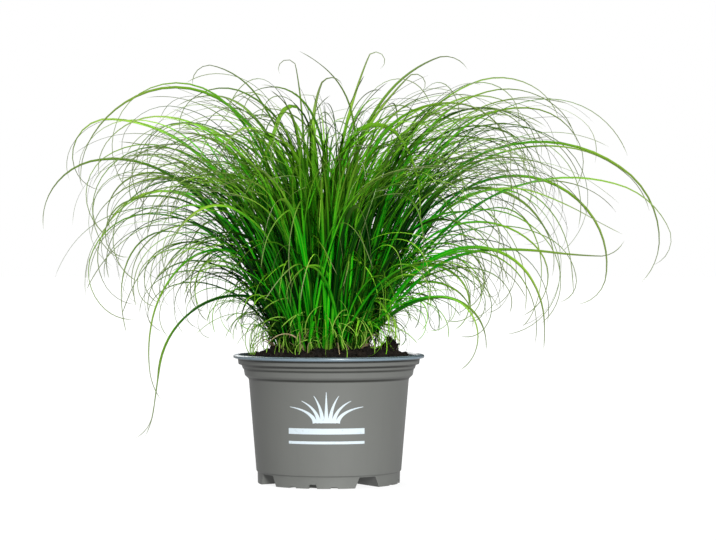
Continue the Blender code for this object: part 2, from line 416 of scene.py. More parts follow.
def polar(radius, degrees):
    """X and Y at a radius and an angle round Z."""
    return radius * math.cos(math.radians(degrees)), radius * math.sin(math.radians(degrees))


def add_wedge(shape, angle, start, end, half_foot, half_top, height):
    """Adds a bar along a radius, in mm, with a trapezoid section that stands on z = 0 and runs 1 mm below it."""
    slope = (half_foot - half_top) / height
    turn = math.radians(angle)
    for corner in bmesh.ops.create_cube(shape, size=2.0)["verts"]:
        top = corner.co.z > 0
        along = end if corner.co.x > 0 else start
        across = math.copysign(half_top if top else half_foot + slope, corner.co.y)
        corner.co.x = (along * math.cos(turn) - across * math.sin(turn)) * MM
        corner.co.y = (along * math.sin(turn) + across * math.cos(turn)) * MM
        corner.co.z = (height if top else -1.0) * MM


def base_hollows(name, grow):
    """The channels and notches under the pot's base, made larger by grow, with their edges softened."""
    shape = bmesh.new()
    for angle in CHANNEL_ANGLES:
        add_wedge(shape, angle, 17.0 - grow, BEYOND_SKIRT, 9.3 + grow, 6.3 + grow, 7.2 + grow)
        add_wedge(shape, angle + 45, 43.0 - grow, BEYOND_SKIRT, 2.9 + grow, 2.3 + grow, 2.7 + grow)
        if grow == 0:
            for side in (-17, 17):
                add_wedge(shape, angle + 45 + side, 43.0, BEYOND_SKIRT, 2.5, 2.2, 1.0)
    bmesh.ops.bevel(shape, geom=shape.edges[:], offset=0.45 * MM, segments=3, affect="EDGES", profile=0.5)
    return piece_from(name, shape)


def volume(mesh):
    shape = bmesh.new()
    shape.from_mesh(mesh)
    size = shape.calc_volume(signed=True)
    shape.free()
    return size


def cut(piece, cutter):
    """Takes the cutter away from the piece, and joins the points that the cut leaves on top of each other."""
    boolean = piece.modifiers.new("cut", "BOOLEAN")
    boolean.operation = "DIFFERENCE"
    boolean.solver = "MANIFOLD"
    boolean.object = cutter
    before = volume(piece.data)
    make_plain(piece)
    shape = bmesh.new()
    shape.from_mesh(piece.data)
    bmesh.ops.remove_doubles(shape, verts=shape.verts, dist=WELD)
    shape.to_mesh(piece.data)
    shape.free()
    if not 0.0 < volume(piece.data) < before:
        raise RuntimeError(f"{cutter.name} did not cut {piece.name}")
    bpy.data.objects.remove(cutter, do_unlink=True)


def level_at(points, place):
    """The level at a place on the straight lines through points of place and level. It stays level past the last."""
    for (near, first), (far, last) in zip(points, points[1:]):
        if place <= far:
            return first + (last - first) * (place - near) / (far - near)
    return points[-1][1]


def peat_height(radius):
    """The height of the peat's surface at a distance from the pot's axis, in mm."""
    return level_at(PEAT_SURFACE, radius)


# ---- Shared effects ----


def soiling_group():
    """Fine dust and crumbs of dirt on the pot: a mask from the place in the object."""
    sockets = [("Place", "Vector"), ("Scale", "Float", 300.0), ("Amount", "Float", 0.3)]
    tree, fields, end = group_tree("soiling", "ShaderNodeTree", sockets, [("Mask", "Float")])
    place, scale, amount = fields.values()
    cover = place.noise(scale * 0.12, 4.0) * 0.6 + place.noise(scale, 5.0, 0.7) * 0.4
    plug(cover.between(0.72 - amount * 0.4, 0.8), end["Mask"])
    return tree


def fibre_group():
    """Fine lines along a blade, and slow changes of tone along it."""
    sockets = [("Across", "Float"), ("Along", "Float"), ("Seed", "Float"), ("Lines", "Float", 9.0)]
    tree, fields, end = group_tree("fibres", "ShaderNodeTree", sockets, [("Lines", "Float"), ("Patches", "Float")])
    across, along, seed, lines = fields.values()
    plug(vector(tree, across * lines, along * 3.0, seed * 40.0).noise(1.6, 2.0, 0.5), end["Lines"])
    plug(vector(tree, across * 0.4, along * 7.0, seed * 90.0).noise(1.0, 3.0, 0.6), end["Patches"])
    return tree


# ---- Materials ----


def blade_fields(tree, fibres):
    """The kept numbers of a blade, then the lines and patches of its fibres."""
    along, across, shade, seed = (attribute(tree, name) for name in KEPT_NUMBERS)
    lines = made(tree, "ShaderNodeGroup", {"Across": across, "Along": along, "Seed": seed}, node_tree=fibres)
    return along, across, shade, seed, lines, lines.other("Patches")


def blade_material(name, settings, fibres, youth=0.0):
    """Living grass: pale sheath at the foot, saturated green, greyer towards the thin tip; paler with youth. The
    upper part is lightened as painted sunlight, more outside the core, and the lower part of darker blades is
    darkened as painted shade.
    """
    material, tree, shader = new_material(name)
    along, across, shade, seed, lines, patches = blade_fields(tree, fibres)
    x, y, z = object_place(tree).parts()
    outside = ((x * x + y * y) ** 0.5).between(0.060, 0.120).at_least(z.between(0.225, 0.265))
    # painted light: the upper part of each blade is lightened as if sunlit, more strongly outside the core
    sunlit = along.between(0.40, 0.80) * blend(outside, 0.55, 0.92)
    upper = layered(tree, settings.sunlit_dark_green, (shade.between(0.1, 0.9), settings.sunlit_green))
    lit = layered(tree, settings.deep_green, (shade**1.3, settings.fresh_green), (sunlit, upper))
    # painted shade: the lower part of the darker blades is darkened, as if shaded between the blades
    shaded = (1.0 - along.between(0.35, 0.8)) * (1.0 - shade.between(0.3, 0.65)) * 0.95
    # partly painted highlight: a pale midrib, made stronger than its own colour to stand in for light on the blade
    midrib_and_highlight = 1.0 - (across - 0.5).size().between(0.0, 0.13)
    tone = layered(
        tree,
        settings.sheath,
        (seed, settings.dry_sheath),
        (along.between(0.0, 0.075), lit),
        (shaded, settings.deep_green),
        (patches.between(0.5, 0.75) * 0.14, settings.yellow_green),
        (lines.between(0.35, 0.7) * 0.45, settings.deep_green),
        (midrib_and_highlight * shade**2.0 * 0.7, settings.yellow_green),
        (along.between(0.62, 0.95) * blend(outside, 0.0, 0.95), settings.tip_olive),
        (youth, settings.young_green),
    )
    surface(shader, (lines, 0.0002, 0.35), Base_Color=tone, Roughness=blend(lines, 0.38, 0.60),
            Specular_IOR_Level=blend(outside, 0.04, 0.16))
    return material


def dry_material(settings, fibres):
    """Old sheaths and dead blades: straw and brown."""
    material, tree, shader = new_material("dry grass")
    *_, seed, lines, patches = blade_fields(tree, fibres)
    tone = layered(tree, settings.straw, (seed, settings.dead_brown), (lines * 0.5, settings.dead_brown))
    surface(shader, (lines, 0.0002, 0.5), Base_Color=tone, Roughness=blend(patches, 0.6, 0.85))
    return material


def plastic_material(settings, soiling):
    """The pot: matt taupe plastic with a fine moulded grain, a rim tinted bluish as a painted reflection, painted
    shade in the collar's grooves and on the inner wall, and specks of peat dust, more towards the base.
    """
    material, tree, shader = new_material("taupe plastic")
    place = object_place(tree)
    x, y, height = place.parts()
    cloud = place.noise(28.0, 4.0)
    streaks = vector(tree, x * 60.0, y * 60.0, height * 6.0).noise(3.0, 3.0)
    rim = height.between(0.0838, 0.0845)
    grooves = []
    # painted shade: dark lines at the grooves and steps of the collar, as if shaded by the overhangs
    for level, depth in ((0.0838, 0.9), (0.0801, 0.85), (0.0772, 0.75), (0.0710, 0.9)):
        groove = 1.0 - (height - level).size().between(0.0003, 0.0012)
        grooves.append((groove * (1.0 - rim) * depth, settings.groove_shade_colour))
    dust = made(tree, "ShaderNodeGroup", {"Place": place, "Scale": 420.0, "Amount": 0.25}, node_tree=soiling)
    dirt = dust * blend(1.0 - height.between(0.0, 0.03), 0.12, 0.5)
    tone = layered(
        tree,
        settings.body_colour,
        (cloud, settings.body_light),
        (streaks.between(0.5, 0.8) * 0.16, settings.body_dark),
        # painted reflection: the rim is tinted bluish as if it reflected the sky
        (rim, settings.rim_reflection_colour),
        # painted shade: faces of the inner wall are darkened for the shade inside the pot
        (attribute(tree, "inner") * 0.85, settings.inside_shade_colour),
        *grooves,
        (dirt, settings.dirt_colour),
    )
    rough = blend(cloud, settings.roughness - 0.06, settings.roughness + 0.08) - rim * 0.16 + dirt * 0.3
    grain = place.noise(2600.0, 2.0)
    surface(shader, (grain, 0.00005, 0.35), Base_Color=tone, Roughness=rough, Specular_IOR_Level=0.4)
    return material


def peat_material(settings):
    """Moist peat: nearly black, with brown fibres and lighter specks."""
    material, tree, shader = new_material("moist peat")
    place = object_place(tree)
    x, y, z = place.parts()
    clumps = place.noise(240.0, 5.0, 0.7)
    fibres = vector(tree, x, y * 5.0, z * 5.0).noise(400.0, 3.0, 0.6, 1.5)
    tone = layered(tree, settings.dark_peat, (clumps.between(0.35, 0.7), settings.brown_peat),
                   (fibres.between(0.66, 0.74) * 0.5, settings.fibre_colour))
    rough = blend(clumps, 0.75, 0.98)
    surface(shader, (clumps, 0.0006, 0.7), Base_Color=tone, Roughness=rough, Specular_IOR_Level=0.1)
    return material


def print_material(settings):
    """White ink with a faintly uneven cover."""
    material, tree, shader = new_material("white ink")
    cover = object_place(tree).noise(500.0, 3.0)
    tone = layered(tree, settings.ink_colour, (cover.between(0.55, 0.8) * 0.3, settings.body_light))
    surface(shader, Base_Color=tone, Roughness=blend(cover, 0.45, 0.6))
    return material


# ---- Settings ----


def setting(make, **more):
    """A maker of one kind of setting, from its name, its description and its default."""
    return lambda name, description, default: make(name=name, description=description, default=default, **more)


whole = setting(bpy.props.IntProperty)
number = setting(bpy.props.FloatProperty)
factor = setting(bpy.props.FloatProperty, subtype="FACTOR", min=0.0, max=1.0)
metres = setting(bpy.props.FloatProperty, unit="LENGTH")
colour = setting(bpy.props.FloatVectorProperty, subtype="COLOR", size=3, min=0.0, max=1.0)


class PotSettings(bpy.types.PropertyGroup):
    """The moulded pot and its print."""

    sides: whole("Sides", "Facets round the pot", 180)
    roughness: factor("Roughness", "How matt the plastic is", 0.42)
    body_colour: colour("Body", "The plastic", (0.113, 0.117, 0.109))
    body_light: colour("Body, light", "Lighter clouds in the plastic", (0.127, 0.131, 0.123))
    body_dark: colour("Body, dark", "Faint flow streaks", (0.090, 0.094, 0.088))
    # painted reflection: the rim's bluish tint stands in for the sky reflected in the plastic
    rim_reflection_colour: colour("Rim", "The rolled rim", (0.145, 0.195, 0.230))
    # painted shade: the inner wall above the peat is painted nearly black for the shade inside the pot
    inside_shade_colour: colour("Inside", "The wall above the peat", (0.012, 0.018, 0.022))
    # painted shade: the dark lines along the collar's grooves and under its steps
    groove_shade_colour: colour("Grooves", "Dust in the collar's grooves", (0.022, 0.023, 0.020))
    dirt_colour: colour("Dirt", "Peat dust on the plastic", (0.05, 0.04, 0.03))
    ink_colour: colour("Ink", "The printed sign", (0.50, 0.57, 0.61))


class PeatSettings(bpy.types.PropertyGroup):
    """The peat, its crumbs and the clod."""

    crumbs: number("Crumbs", "Crumbs on a square metre", 150000.0)
    smallest: metres("Smallest crumb", "Radius of the smallest crumbs", 0.0007)
    largest: metres("Largest crumb", "Radius of the largest crumbs", 0.0030)
    relief: metres("Relief", "How uneven the surface is", 0.0028)
    dark_peat: colour("Dark peat", "The peat in its hollows", (0.004, 0.0032, 0.0028))
    brown_peat: colour("Brown peat", "The crumbs' lighter sides", (0.014, 0.010, 0.0075))
    fibre_colour: colour("Fibres", "Fibres and specks", (0.07, 0.05, 0.035))


class ClumpSettings(bpy.types.PropertyGroup):
    """The grass."""

    segments: whole("Segments", "Segments along a blade", 34)
    outer_blades: whole("Outer blades", "Blades in an outer tuft", 28)
    middle_blades: whole("Middle blades", "Blades in a middle tuft", 30)
    inner_blades: whole("Inner blades", "Blades in an inner tuft", 40)
    narrowest: metres("Narrowest", "Width of the narrowest blades", 0.0011)
    widest: metres("Widest", "Width of the widest blades", 0.0038)
    seed: whole("Seed", "Changes every blade but the longest", 11)
    deep_green: colour("Deep green", "Shaded and older blades", (0.0004, 0.018, 0.0008))
    fresh_green: colour("Fresh green", "Young blades", (0.006, 0.430, 0.003))
    yellow_green: colour("Yellow green", "Ribs and patches", (0.230, 0.66, 0.020))
    # painted light: the colours of the sunlit upper part of the blades, for paler and for darker blades
    sunlit_green: colour("Upper green", "The upper halves of the paler blades", (0.310, 0.490, 0.032))
    sunlit_dark_green: colour("Upper dark green", "The upper halves of the darker blades", (0.085, 0.225, 0.006))
    young_green: colour("Young green", "Pale curls at the foot", (0.21, 0.38, 0.05))
    tip_olive: colour("Tips", "Thin tips", (0.110, 0.145, 0.055))
    sheath: colour("Sheath", "Foot of a living blade", (0.10, 0.20, 0.02))
    dry_sheath: colour("Old sheath", "Foot of an older blade", (0.12, 0.11, 0.03))
    straw: colour("Straw", "Dead blades", (0.36, 0.29, 0.15))
    dead_brown: colour("Brown", "Darker dead blades", (0.13, 0.085, 0.04))


class StageSettings(bpy.types.PropertyGroup):
    """Floor, lights and camera."""

    floor_colour: colour("Floor", "The plain floor", (0.10, 0.10, 0.10))
    distance: metres("Distance", "Camera to the pot's axis", 1.468)
    side_step: metres("Side step", "Camera to the right of the pot's axis", 0.0198)
    eye_height: metres("Eye height", "Camera above the floor", 0.144)
    lens: number("Lens", "Focal length in mm", 108.6)
    key: number("Key light", "Strength of the main soft light", 4.7)
    fill: number("Fill", "Strength of the light from all round", 0.09)
    glow: number("Glow", "How much the floor is lifted to white", 0.87)
    bounce: number("Bounce", "Light that the floor gives the pot", 0.45)


# ---- The grass ----


def blade_tree():
    """Grows a blade from each vertex. Each vertex holds the blade's angles (radians), length, width and tones."""
    sockets = [
        ("Geometry", "Geometry"),
        ("Segments", "Int", 28),
        ("Blades", "Int", 30),
        ("Fold", "Float", 0.42),
        ("Keel", "Float", 0.12),
        ("Finest", "Float", 0.00058),
        ("Rim Radius", "Float", 0.0665),
        ("Rim Height", "Float", 0.0884),
        ("Material", "Material"),
    ]
    tree, given, end = group_tree("grass blades", "GeometryNodeTree", sockets, [("Geometry", "Geometry")])

    def node(kind, inputs=None, **settings):
        return made(tree, "GeometryNode" + kind, inputs, **settings)

    def own(name, kind="FLOAT"):
        return node("InputNamedAttribute", {"Name": name}, data_type=kind)

    def store(geometry, name, value, kind="FLOAT", domain="POINT"):
        inputs = {"Geometry": geometry, "Name": name, 3: value}
        return node("StoreNamedAttribute", inputs, data_type=kind, domain=domain)

    blade = own("blade", "INT")
    points = node("MeshToPoints", {"Mesh": given["Geometry"]})
    copies = node("DuplicateElements", {"Geometry": points, "Amount": given["Segments"] + 1.0}, domain="POINT")
    even = copies.other("Duplicate Index") / given["Segments"]
    # points lie closer together towards the tip
    marked = store(copies, "along", 1.0 - (1.0 - even) ** TIPWARD)
    marked = store(marked, "before", 1.0 - (1.0 - (even - 1.0 / given["Segments"]).at_least(0.0)) ** TIPWARD)
    along = own("along")
    curves = node("PointsToCurves", {"Points": marked, "Curve Group ID": blade, "Weight": along})

    def inclination(share):
        tilt = own("tilt_0")
        for i, (low, high) in enumerate(zip(STATIONS, STATIONS[1:])):
            passed = made(tree, "ShaderNodeMapRange", {0: share, 1: low, 2: high})
            tilt = tilt + (own(f"tilt_{i + 1}") - own(f"tilt_{i}")) * passed
        return tilt

    def bearing(share):
        return own("heading") + own("sway") * share * share

    middle = (along + own("before")) * 0.5
    step = (along - own("before")) * own("length")
    tilt, turn = inclination(middle), bearing(middle)
    stride = vector(tree, tilt.sin() * turn.cos() * step, tilt.sin() * turn.sin() * step, tilt.cos() * step)
    run = node("AccumulateField", {0: stride, "Group Index": blade}, data_type="FLOAT_VECTOR", domain="POINT")
    grown = node("SetPosition", {"Geometry": curves, "Offset": run})

    # blades that come down on the pot rest on the peat, here one curve, or on the rim, or hang outside it
    x, y, z = node("InputPosition").parts()
    radius = (x * x + y * y) ** 0.5
    peat = 0.0912 - 0.0085 * (radius / 0.06) ** 2.2
    sunk = (blend(radius.over(0.0600), peat, given["Rim Height"]) - z).at_least(0.0)
    out_by = (given["Rim Radius"] - radius).at_least(0.0)
    started = along.over(0.12)
    lift = sunk * out_by.over(0.0) * (1.0 - sunk.over(out_by)) * started
    push = out_by * sunk.over(out_by) * started
    aside = vector(tree, x / radius * push, y / radius * push, lift)
    clear = node("SetPosition", {"Geometry": grown, "Offset": aside})

    # the flat of the blade faces up from the plane that it bends in, and twists a little
    tilt, turn = inclination(along), bearing(along)
    twist = own("twist") * (along * 0.6 + 0.4)
    level = vector(tree, turn.sin(), turn.cos() * -1.0, 0.0).vector_math("SCALE", twist.cos())
    upper = vector(tree, tilt.cos() * turn.cos() * -1.0, tilt.cos() * turn.sin() * -1.0, tilt.sin())
    faced = level.vector_math("ADD", upper.vector_math("SCALE", twist.sin()))
    spine = node("SetCurveNormal", {"Curve": clear, "Normal": faced}, mode="FREE")

    corners = {
        "Point 1": vector(tree, -1.0, given["Fold"] * -1.0, 0.0),
        "Point 2": (0.0, 0.0, 0.0),
        "Point 3": vector(tree, 1.0, given["Fold"] * -1.0, 0.0),
        "Point 4": vector(tree, 0.0, given["Keel"], 0.0),
    }
    profile = node("CurvePrimitiveQuadrilateral", corners, mode="POINTS")
    quarter = node("InputIndex") * (math.pi / 2)
    shaped = store(profile, "across", quarter.cos() * -0.5 + 0.5)
    shaped = store(shaped, "top", quarter.sin() * 0.5 + 0.5)
    foot = blend(along.between(0.0, 0.22), 0.62, 1.0)
    full = own("width") * foot * (1.0 - along ** own("taper"))
    width = full.at_least(given["Finest"]) * 0.5 * (1.0 - along.between(0.97, 1.0) * 0.85)
    leaf = node("CurveToMesh", {"Curve": spine, "Profile Curve": shaped, "Scale": width, "Fill Caps": True})

    def on_domain(value, domain):
        return node("FieldOnDomain", {0: value}, domain=domain, data_type="FLOAT")

    half = own("across") * 0.5
    lane = blend(on_domain(own("top"), "FACE").over(0.6), 1.0 - half, half) * 0.92 + 0.04
    layout = vector(tree, (blade + lane) / given["Blades"], along * 0.98 + 0.01, 0.0)
    leaf = store(leaf, "OFBake", layout, "FLOAT2", "CORNER")
    margin = 1.0 - (on_domain(own("top"), "EDGE") - 0.5).size().over(0.1)
    smooth = node("SetShadeSmooth", {"Geometry": leaf, "Shade Smooth": True}, domain="FACE")
    sharp = node("SetShadeSmooth", {"Geometry": smooth, "Selection": margin, "Shade Smooth": False}, domain="EDGE")
    solid = node("RealizeInstances", {"Geometry": sharp})
    plug(node("SetMaterial", {"Geometry": solid, "Material": given["Material"]}), end["Geometry"])
    return tree


TILTS = tuple(f"tilt_{i}" for i in range(len(STATIONS)))
BLADE_NUMBERS = ("heading", "length", "sway", "twist", "width", "taper", "shade", "seed", *TILTS)
BLADE_ANGLES = ("heading", "sway", "twist", *TILTS)
KEPT_NUMBERS = ("along", "across", "shade", "seed")


def grow(name, blades, tree, settings, material):
    """One mesh of blades. Each blade is a dict with its root in mm, its angles in degrees and its other numbers."""
    mesh = bpy.data.meshes.new(name)
    mesh.from_pydata([[v * MM for v in blade["root"]] for blade in blades], [], [])
    index = mesh.attributes.new("blade", "INT", "POINT")
    index.data.foreach_set("value", range(len(blades)))
    for blade in blades:
        blade.update(zip(TILTS, blade["tilts"]))
    for number in BLADE_NUMBERS:
        scale = math.pi / 180 if number in BLADE_ANGLES else MM if number in ("length", "width") else 1.0
        layer = mesh.attributes.new(number, "FLOAT", "POINT")
        layer.data.foreach_set("value", [blade[number] * scale for blade in blades])
    piece = add_object(name, mesh)
    run_nodes(piece, tree, Segments=settings.segments, Blades=len(blades), Material=material)
    mesh = piece.data
    for layer in [a.name for a in mesh.attributes if a.name in (*BLADE_NUMBERS, "blade", "before", "top")]:
        if layer not in KEPT_NUMBERS:
            mesh.attributes.remove(mesh.attributes[layer])
    return piece


def crown_place(radius, angle):
    """The place at a radius and an angle round the crown, in mm."""
    x, y = polar(radius, angle)
    return CROWN_X + x, y


def root_at(x, y):
    """Where a blade starts, in the peat below a place."""
    return x, y, peat_height(math.hypot(x, y)) - ROOT_DEPTH


def arched(dice, lean, bend, late, curl, hook=None):
    """Tilts of a blade that leans, bends over and curls at its tip, each drawn from its least and greatest value."""
    lean, bend, late, curl = (dice.uniform(*span) for span in (lean, bend, late, curl))
    hook = hook or dice.uniform(3.0, 8.0)
    return [lean + bend * (v * v * (3 - 2 * v)) ** late + curl * v**hook for v in STATIONS]


def blade_points(blade, steps=16):
    """Points along a blade in mm, as the node tree grows it."""
    x, y, z = blade["root"]
    tilts = list(zip(STATIONS, blade["tilts"]))
    before = 0.0
    for step in range(1, steps + 1):
        along = 1.0 - (1.0 - step / steps) ** TIPWARD
        middle = (along + before) / 2
        tilt = math.radians(level_at(tilts, middle))
        turn = math.radians(blade["heading"] + blade["sway"] * middle * middle)
        stride = (along - before) * blade["length"]
        x += stride * math.sin(tilt) * math.cos(turn)
        y += stride * math.sin(tilt) * math.sin(turn)
        z += stride * math.cos(tilt)
        before = along
        yield x, y, z


def inside_outline(point, share):
    """Whether a point lies in the clump's rounded outline, shrunk to a share of its size."""
    x, y, z = point
    if math.hypot(x, y) > POT_CLEAR and z < (LOW_AT_FRONT if y < -25 else LOW_AT_SIDES):
        return False
    reach_x = REACH["right" if x > 0 else "left"] * share
    reach_y = REACH["back" if y > 0 else "front"] * share
    rise = (z - MIDDLE_HEIGHT) / REACH["top" if z > MIDDLE_HEIGHT else "bottom"]
    return (x * x / reach_x**2 + y * y / reach_y**2) ** 1.4 + abs(rise) ** 3.5 < 1.0


def crest_length(blade, crest):
    """The length that brings the top of the blade's arch to a height, in mm."""
    trial = dict(blade, length=100.0)
    rise = max(z for _, _, z in blade_points(trial)) - blade["root"][2]
    return 100.0 * (crest - blade["root"][2]) / max(rise, 5.0)


def long_blade(seat, heading, length, tilts, width, dice):
    return dict(root=root_at(*seat), heading=heading, length=length + ROOT_DEPTH, tilts=tilts, sway=0.0,
                twist=dice.choice((-1, 1)) * dice.uniform(50, 80), width=width, taper=3.0,
                shade=dice.uniform(0.35, 0.85), seed=dice.random())


def tuft_blades(ring, number, leader, count, settings, dice):
    """The blades of a tuft: its leader and companions, then followers that vary about them."""
    first, apart = SEATS[ring]
    angle = first + apart * (number - 1)
    seat = crown_place(RING_RADIUS[ring], angle)
    narrow, wide = settings.narrowest / MM, settings.widest / MM
    usual = wide * dice.uniform(0.65, 0.9)
    blades = [long_blade(seat, *leader, BROAD.get((ring, number), usual), dice)]
    for kin, tuft, *row in COMPANIONS:
        if (kin, tuft) == (ring, number):
            blades.append(long_blade(seat, *row, dice))
    lean_low, lean_high, spread = HABIT[ring]
    cosine, sine = polar(1.0, angle)
    facing, rightward, central = max(0.0, -sine), max(0.0, cosine), abs(sine)
    lean_high -= 0.4 * facing * (lean_high - lean_low)
    count += round(MORE_AT_RIGHT * rightward)
    fan_share = FAN_SHARE + 0.25 * facing - 0.08 * rightward
    arch_share = ARCH_SHARE * (1.0 - 0.6 * facing - 0.3 * rightward)
    curl = 30.0 + 120.0 * cosine**2
    while len(blades) < count:
        kind = dice.random()
        root = root_at(seat[0] + dice.gauss(0.0, 3.4), seat[1] + dice.gauss(0.0, 3.4))
        if kind < fan_share:
            crest = dice.uniform(206 - 16 * central, 270 - 6 * central) + 18 * dice.random() ** 3
            habit = (lean_low, lean_high), (45, 115 - 45 * facing), (1.8, 3.6), (0, curl)
        elif kind < fan_share + arch_share:
            crest = dice.uniform(150 - 18 * rightward, 215 - 12 * rightward)
            habit = (lean_low, lean_high + 8), (90, 150), (1.0, 2.2), (0, curl)
        else:
            crest = dice.uniform(105, 150)
            habit = (lean_low, lean_high + 14), (60, 150), (0.9, 2.0), (0, 120)
        tilts = arched(dice, *habit)
        slim = dice.random() ** 1.1
        blade = dict(
            root=root,
            tilts=tilts,
            heading=angle + dice.gauss(0.0, spread),
            sway=dice.gauss(0.0, 34.0),
            twist=dice.choice((-1, 1)) * dice.uniform(15, 80),
            width=narrow + (wide - narrow) * slim * (1.0 if ring != "outer" else 0.55),
            taper=dice.uniform(1.3, 2.4),
            shade=dice.random(),
            seed=dice.random(),
        )
        blade["length"] = crest_length(blade, crest)
        share = 1.0 - (0.5 - 0.12 * rightward) * dice.random() ** 0.8
        if all(inside_outline(point, share) for point in blade_points(blade)):
            blades.append(blade)
    return blades


def litter_blades(count, dice, low, high, bends, widths, astray):
    """Thin short blades that curl round the foot of the clump; astray is how far they turn from its outward way."""
    blades = []
    while len(blades) < count:
        seat = dice.uniform(0, 360)
        blade = dict(
            root=root_at(*crown_place(dice.uniform(*LITTER_RING), seat)),
            heading=seat + dice.choice((-1, 1)) * dice.uniform(0.4, 1.0) * astray,
            length=dice.uniform(low, high),
            tilts=arched(dice, (5, 60), bends, (0.6, 1.6), (0, 90), 4.0),
            sway=dice.gauss(0.0, 60.0),
            twist=dice.gauss(0.0, 60.0),
            width=dice.uniform(*widths),
            taper=2.2,
            shade=dice.random(),
            seed=dice.random(),
        )
        if all(z > LITTER_ABOVE and (math.hypot(x, y) < LITTER_WITHIN or y > 0 and z > LITTER_ABOVE_AT_BACK)
               for x, y, z in blade_points(blade)):
            blades.append(blade)
    return blades


# ---- Operators ----


def wall_point(across, height, lift):
    """A point of the pot's front, in metres: mm round the wall from the middle, mm up, and mm off the wall."""
    radius = level_at(WALL, height)
    turn = across / radius
    return (radius + lift) * MM * math.sin(turn), -(radius + lift) * MM * math.cos(turn), height * MM


def add_stroke(shape, points):
    """Adds a thin closed stroke of ink along points (mm across, mm up, half width)."""
    rows = []
    for i, (across, height, half) in enumerate(points):
        before, after = points[max(i - 1, 0)], points[min(i + 1, len(points) - 1)]
        way = Vector((after[0] - before[0], after[1] - before[1])).normalized() * half
        left, right = (across - way.y, height + way.x), (across + way.y, height - way.x)
        rows.append([shape.verts.new(wall_point(*edge, lift)) for edge, lift in
                     ((left, INK_LIFT), (right, INK_LIFT), (right, -INK_DEPTH), (left, -INK_DEPTH))])
    for row, following in zip(rows, rows[1:]):
        for i in range(4):
            shape.faces.new((row[i], row[(i + 1) % 4], following[(i + 1) % 4], following[i]))
    shape.faces.new(reversed(rows[0]))
    shape.faces.new(rows[-1])


def add_print(material):
    """A plain sign on the pot's front: a few arching strokes over two lines."""
    shape = bmesh.new()
    for lean in (-1.0, -0.66, -0.33, 0.0, 0.33, 0.66, 1.0):
        height = 20.5 - 5.5 * lean * lean
        stroke = []
        for step in range(11):
            share = step / 10
            across = PRINT_MIDDLE + 7.5 * lean + 17.5 * lean * share**1.8
            rise = height * (share - 0.3 * abs(lean) * share**2.5)
            stroke.append((across, STROKES_FROM + rise, 1.35 * (1 - share) + 0.15))
        add_stroke(shape, stroke)
    for middle, half in LINES:
        add_stroke(shape, [(PRINT_MIDDLE + LINE_HALF * (step / 12 - 1), middle, half) for step in range(25)])
    bmesh.ops.recalc_face_normals(shape, faces=shape.faces)
    return piece_from("print", shape, material)


class GRASSPOT_OT_pot(bpy.types.Operator):
    """Make the moulded pot, with its drainage base"""

    bl_idname = "grass_pot.pot"
    bl_label = "Pot"

    def execute(self, context):
        settings = context.scene.grass_pot_pot
        outside = [Vector((0.0, POT_OUTSIDE[0][1])), *rounded(POT_OUTSIDE), Vector((0.0, 0.0))]
        inside = [Vector((0.0, MOUTH[0][1])), *rounded((*MOUTH, *POT_INSIDE, (0.0, BASE_TOP, 0.0)))]
        pot = turned("nursery_pot", outside, settings.sides)
        cavity = turned("cavity", inside, settings.sides)
        cut(cavity, base_hollows("covers", POT_WALL))
        cut(pot, cavity)
        cut(pot, base_hollows("hollows", 0.0))
        pegs = bmesh.new()
        for angle in CHANNEL_ANGLES:
            radius = PEG_RADIUS * MM
            peg = bmesh.ops.create_cone(
                pegs, cap_ends=True, segments=32, radius1=radius, radius2=radius, depth=PEG_DEPTH * MM
            )["verts"]
            bmesh.ops.translate(pegs, verts=peg, vec=(*polar(PEG_RING * MM, angle), PEG_HEIGHT * MM))
        cut(pot, piece_from("pegs", pegs))
        pot.data.shade_smooth()
        pot.data.set_sharp_from_angle(angle=math.radians(SHARP_FROM))
        # painted shade: marks the faces of the inner wall, which the plastic darkens for the shade inside the pot
        inner = pot.data.attributes.new("inner", "FLOAT", "FACE")
        for face in pot.data.polygons:
            facing = face.normal.x * face.center.x + face.normal.y * face.center.y
            inner.data[face.index].value = float(facing < -0.001 and face.center.z > 0.05)
        pot.data.materials.clear()
        pot.data.materials.append(plastic_material(settings, soiling_group()))
        finish_piece(pot, "pot_plastic", "pot")
        finish_piece(add_print(print_material(settings)), "pot_plastic")
        return {"FINISHED"}


